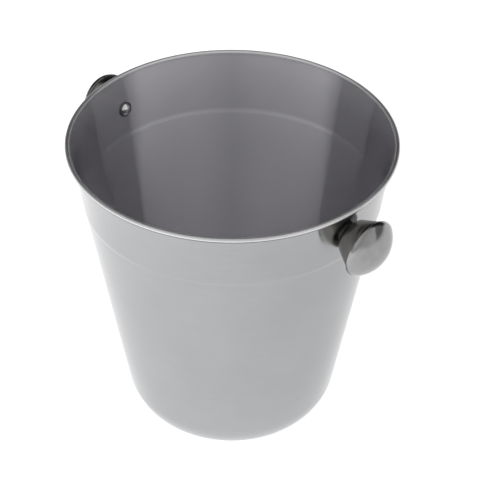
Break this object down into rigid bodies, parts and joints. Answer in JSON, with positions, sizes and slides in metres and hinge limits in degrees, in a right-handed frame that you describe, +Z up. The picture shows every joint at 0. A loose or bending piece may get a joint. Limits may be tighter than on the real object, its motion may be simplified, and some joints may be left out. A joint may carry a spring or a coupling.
{
  "type": "champagne bucket",
  "caption": "Tapered stainless-steel champagne bucket with curled rim, stepped band and mushroom knob handles bolted on from inside.",
  "frame": {"origin": "centre of the base, on the surface it stands on", "axes": "+Z up along the bucket's axis, +X towards the right knob"},
  "size_m": [0.2394, 0.2, 0.2],
  "materials": {
    "bucket_steel": "satin-polished outside, mirror-polished inside",
    "knob_steel": "polished, with fine wear",
    "fixing_steel": "bright polished",
    "spacer_steel": "turned, dull",
    "seal_rubber": "matt black"
  },
  "bodies": {
    "root": {"bucket_shell": "bucket_steel", "knob_cap_right": "knob_steel", "knob_cup_right": "knob_steel", "threaded_boss_right": "fixing_steel", "spacer_right": "spacer_steel", "seal_right": "seal_rubber", "washer_right": "fixing_steel", "bolt_right": "fixing_steel", "knob_cap_left": "knob_steel", "knob_cup_left": "knob_steel", "threaded_boss_left": "fixing_steel", "spacer_left": "spacer_steel", "seal_left": "seal_rubber", "washer_left": "fixing_steel", "bolt_left": "fixing_steel"}
  },
  "joints": []
}
